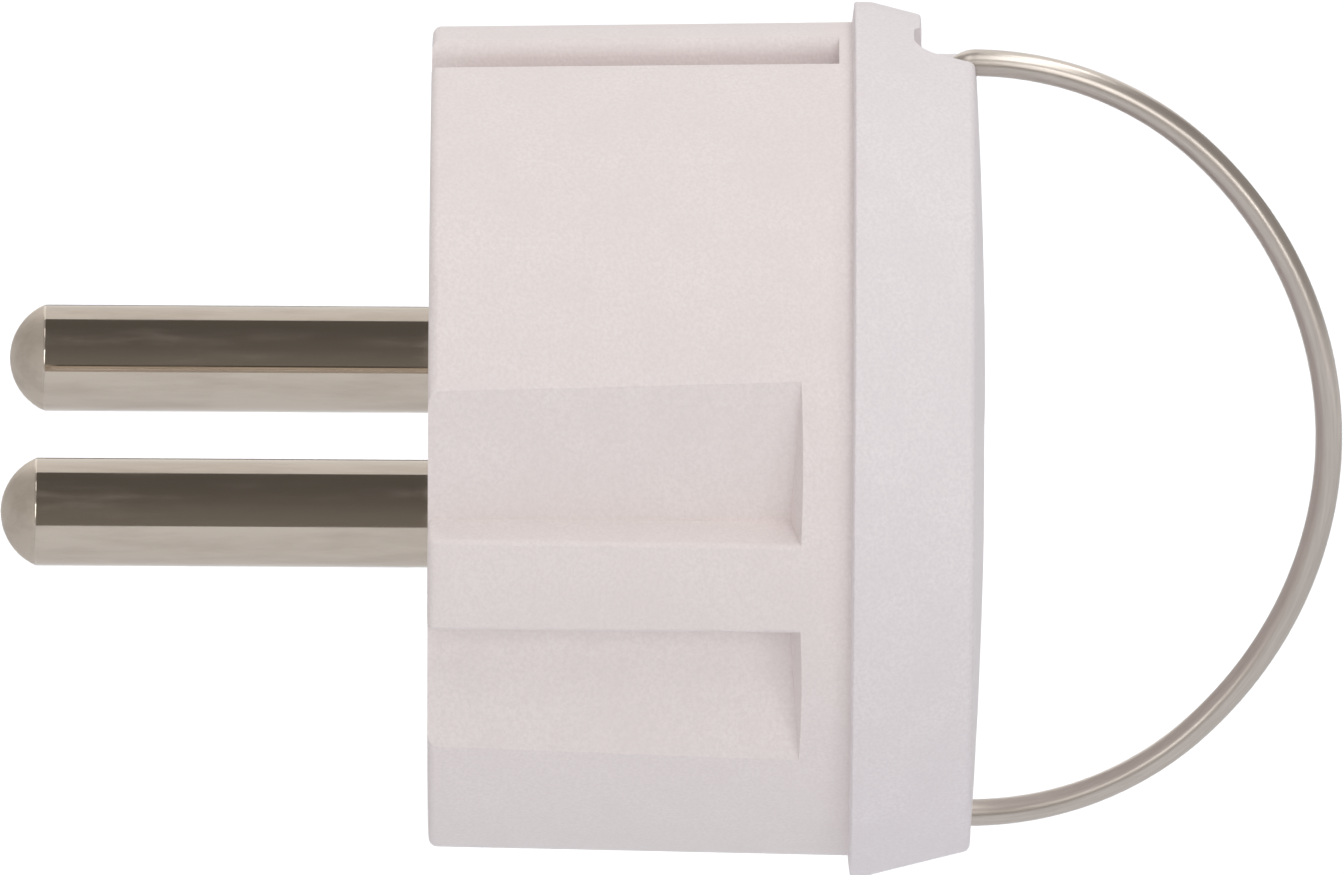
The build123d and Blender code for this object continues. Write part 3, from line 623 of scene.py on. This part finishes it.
class ADAPTER_OT_receptacle(bpy.types.Operator):
    """Give the USB receptacle its tinned shell, insulator and gilt contacts"""

    bl_idname = "adapter.receptacle"
    bl_label = "Dress Receptacle"

    def execute(self, context):
        # Rolled and tin-plated steel sheet: soft metal gloss with a fine orange peel.
        tin = mottled(
            "tin_plated_steel_sheet", "#C9C9C6", "#B4B4B0", patch_mm=0.8, roughness=0.28, metallic=1.0
        )
        dress(tin, "usb_shell")
        # Glass-filled moulding: dull off-white with short pale fibres near the skin.
        tongue = mottled("glass_filled_moulding", "#DEDDD8", "#CFCDC6", patch_mm=0.4, roughness=0.5)
        dress(tongue, "usb_insulator")
        # Gold flash over nickel: warm, bright and slightly streaked.
        gold = mottled(
            "gold_flash_contact", "#E3BE72", "#CFA557", patch_mm=0.6, roughness=0.2, metallic=1.0
        )
        dress(gold, "usb_contacts")
        return {"FINISHED"}


class ADAPTER_OT_electronics(bpy.types.Operator):
    """Give the parts inside the housing their finishes"""

    bl_idname = "adapter.electronics"
    bl_label = "Dress Electronics"

    def execute(self, context):
        # Black glass-filled plate: dull, with a faint grey flow pattern.
        plate = mottled("glass_filled_black_plate", "#232325", "#303032", patch_mm=1.0, roughness=0.6)
        dress(plate, "pin_retainer")
        # Solder mask over woven glass laminate: green and slightly glossy.
        board = mottled("solder_masked_laminate", "#1F5A38", "#184A2E", patch_mm=0.7, roughness=0.35)
        dress(board, "circuit_board")
        # Sintered ferrite: near-black ceramic with a fine grey sparkle.
        ferrite = mottled("sintered_ferrite", "#38383B", "#2B2B2E", patch_mm=0.3, roughness=0.55)
        dress(ferrite, "core_front", "core_rear", "filter_choke")
        # Phenolic former: black, moulded, low gloss.
        former = mottled("moulded_phenolic", "#1F1D1C", "#2A2725", patch_mm=0.9, roughness=0.5)
        dress(former, "bobbin")
        # Polyester tape over copper: yellow film that wrinkles a little.
        tape = mottled("polyester_tape", "#E0BC3C", "#CFA72C", patch_mm=1.5, roughness=0.3)
        dress(tape, "winding")
        # Heat-shrunk sleeve: dark, glossy, drawn tight on the can.
        sleeve = mottled("shrunk_sleeve", "#25272E", "#1C1E24", patch_mm=2.0, roughness=0.3)
        dress(sleeve, "input_capacitor_left", "input_capacitor_right", "output_capacitor")
        # Dipped lacquer: blue, rounded, with an uneven skin.
        lacquer = mottled("dipped_lacquer", "#2A5A9C", "#234C86", patch_mm=1.2, roughness=0.3)
        dress(lacquer, "safety_capacitor")
        # Flameproof coating: chalky grey-green.
        coating = mottled("flameproof_coating", "#8FA39A", "#7E938A", patch_mm=0.5, roughness=0.7)
        dress(coating, "fusible_resistor")
        # Moulded epoxy: black and dull from its filler.
        epoxy = mottled("moulded_epoxy", "#1C1C1D", "#262628", patch_mm=0.3, roughness=0.6)
        dress(epoxy, "bridge_rectifier", "control_chip", "output_diode")
        # Fired ceramic chips: brown bodies with paler grains.
        ceramic = mottled("fired_ceramic_chip", "#8D765C", "#7A654D", patch_mm=0.25, roughness=0.5)
        dress(ceramic, "chip_resistors", "chip_capacitors")
        return {"FINISHED"}


def studio_light(name, place, aim, width, height, power):
    """One rectangular softbox at a place, turned to the aim point and unseen by the camera."""
    lamp = bpy.data.lights.new(name, "AREA")
    lamp.shape = "RECTANGLE"
    lamp.size = width
    lamp.size_y = height
    lamp.energy = power
    light = bpy.data.objects.new(name, lamp)
    light.location = place
    light.rotation_euler = (Vector(aim) - Vector(place)).to_track_quat("-Z", "Y").to_euler()
    light.visible_camera = False
    bpy.context.scene.collection.objects.link(light)


class ADAPTER_OT_stage(bpy.types.Operator):
    """Lay the pale floor and set the soft lights and the camera"""

    bl_idname = "adapter.stage"
    bl_label = "Set Stage"

    def execute(self, context):
        look = context.scene.adapter.stage
        self.lay_floor(look)
        self.set_lights(context.scene, look)
        self.set_camera(context.scene, look)
        return {"FINISHED"}

    def lay_floor(self, look):
        """A level sheet of floor: a grid of points at one height, short towards the camera."""
        deep, across = np.meshgrid(
            np.linspace(-look.floor_front, look.floor_back, FLOOR_POINTS),
            np.linspace(-look.floor_back, look.floor_back, FLOOR_POINTS),
        )
        height = np.full(across.size, -look.floor_drop)
        points = np.column_stack([deep.ravel(), across.ravel(), height])
        floor = mesh_piece("studio_floor", points, grid_quads(FLOOR_POINTS, FLOOR_POINTS, wrap=False))
        floor.data.materials.append(studio_paint("matt_studio_paint", look))

    def set_lights(self, scene, look):
        """A tent of two light walls, a panel behind, softboxes, strips, a floor spot and a room."""
        middle = Vector((0.0, 0.0, look.wall_height / 2 - look.wall_foot))
        across = Vector((0.0, look.wall_gap, 0.0))
        size = (look.wall_length, look.wall_height)
        studio_light("wall_left", middle + across, middle, *size, look.left_light)
        studio_light("wall_right", middle - across, middle, *size, look.right_light)
        studio_light("panel_behind", BACK_PANEL_PLACE, look.aim, *BACK_PANEL_SIZE, look.back_light)
        for role, side, power in (("key", -1, look.key_light), ("fill", 1, look.fill_light)):
            mirror = Vector((1, side, 1))
            front = Vector(FRONT_BOX_PLACE) * mirror
            ahead = front + Vector((1, 0, 0))
            studio_light(f"softbox_{role}", front, ahead, *FRONT_BOX_SIZE, power)
            over = Vector(OVER_BOX_PLACE) * mirror
            below = over - Vector((0, 0, 1))
            studio_light(f"overhead_{role}", over, below, *OVER_BOX_SIZE, power * look.over_ratio)
        studio_light("softbox_top", TOP_BOX_PLACE, look.aim, *TOP_BOX_SIZE, look.top_light)
        studio_light("strip_left", LEFT_STRIP_PLACE, look.aim, *LEFT_STRIP_SIZE, look.strip_light)
        studio_light("strip_right", RIGHT_STRIP_PLACE, look.aim, *RIGHT_STRIP_SIZE, look.strip_light)
        self.light_floor(scene, look)
        scene.world = self.soft_room(look)
        scene.view_settings.view_transform = "Standard"

    def soft_room(self, look):
        """A room whose light fades evenly from the horizon to the ceiling."""
        world = bpy.data.worlds.new("soft_room")
        world.use_nodes = True
        tree = world.node_tree
        tree.nodes.clear()
        direction = add_node(tree, "ShaderNodeTexCoord", {}).outputs["Generated"]
        height = add_node(tree, "ShaderNodeSeparateXYZ", {"Vector": direction}).outputs["Z"]
        fade = add_node(
            tree, "ShaderNodeMapRange",
            {"Value": height, "To Min": look.room_light, "To Max": look.ceiling_light},
        )
        glow = add_node(
            tree, "ShaderNodeBackground",
            {"Color": look.room_colour, "Strength": fade.outputs["Result"]},
        )
        add_node(tree, "ShaderNodeOutputWorld", {"Surface": glow.outputs["Background"]})
        return world

    def light_floor(self, scene, look):
        """A spot straight above the patch of floor that the camera sees behind the plug."""
        behind = look.floor_drop / math.tan(look.elevation)
        lamp = bpy.data.lights.new("floor_spot", "SPOT")
        lamp.energy = look.floor_light
        lamp.spot_size = FLOOR_SPOT_BEAM
        lamp.spot_blend = 1.0
        lamp.shadow_soft_size = FLOOR_SPOT_RADIUS
        light = bpy.data.objects.new("floor_spot", lamp)
        light.location = (behind, 0.0, FLOOR_SPOT_HEIGHT)
        light.visible_camera = False
        scene.collection.objects.link(light)

    def set_camera(self, scene, look):
        """A long lens that looks at one side of the plug from above its axis."""
        away = Vector((-math.cos(look.elevation), 0.0, math.sin(look.elevation)))
        lens = bpy.data.cameras.new("photo_lens")
        lens.sensor_fit = "HORIZONTAL"
        lens.lens = lens.sensor_width * look.distance / look.view_width
        lens.clip_end = CAMERA_REACH
        camera = bpy.data.objects.new("photo_camera", lens)
        turn = (-away).to_track_quat("-Z", "Y").to_matrix().to_4x4()
        place = Matrix.Translation(Vector(look.aim) + away * look.distance)
        camera.matrix_world = place @ turn @ Matrix.Rotation(look.roll, 4, "Z")
        scene.collection.objects.link(camera)
        scene.camera = camera


class ADAPTER_PT_sidebar(bpy.types.Panel):
    """Lists the steps that dress the adapter"""

    bl_idname = "ADAPTER_PT_sidebar"
    bl_label = "Plug Adapter"
    bl_space_type = "VIEW_3D"
    bl_region_type = "UI"
    bl_category = "Plug Adapter"

    def draw(self, context):
        for step in STEPS:
            self.layout.operator(step.bl_idname)
        settings = context.scene.adapter
        for group in (settings.housing, settings.metal, settings.stage):
            box = self.layout.box()
            for name in group.bl_rna.properties.keys():
                if name not in ("rna_type", "name"):
                    box.prop(group, name)


STEPS = (
    ADAPTER_OT_housing,
    ADAPTER_OT_pins,
    ADAPTER_OT_pull_loop,
    ADAPTER_OT_receptacle,
    ADAPTER_OT_electronics,
    ADAPTER_OT_stage,
)
CLASSES = (HousingLook, MetalLook, StageLook, AdapterSettings, *STEPS, ADAPTER_PT_sidebar)


def register():
    """Registers the classes and hangs the settings on the scene."""
    for cls in CLASSES:
        bpy.utils.register_class(cls)
    bpy.types.Scene.adapter = bpy.props.PointerProperty(type=AdapterSettings)


def unregister():
    """Removes the settings and the classes."""
    del bpy.types.Scene.adapter
    for cls in reversed(CLASSES):
        bpy.utils.unregister_class(cls)


def main():
    """Dresses the adapter step by step."""
    register()
    bpy.ops.adapter.housing()
    bpy.ops.adapter.pins()
    bpy.ops.adapter.pull_loop()
    bpy.ops.adapter.receptacle()
    bpy.ops.adapter.electronics()
    bpy.ops.adapter.stage()


if __name__ == "__main__":
    main()
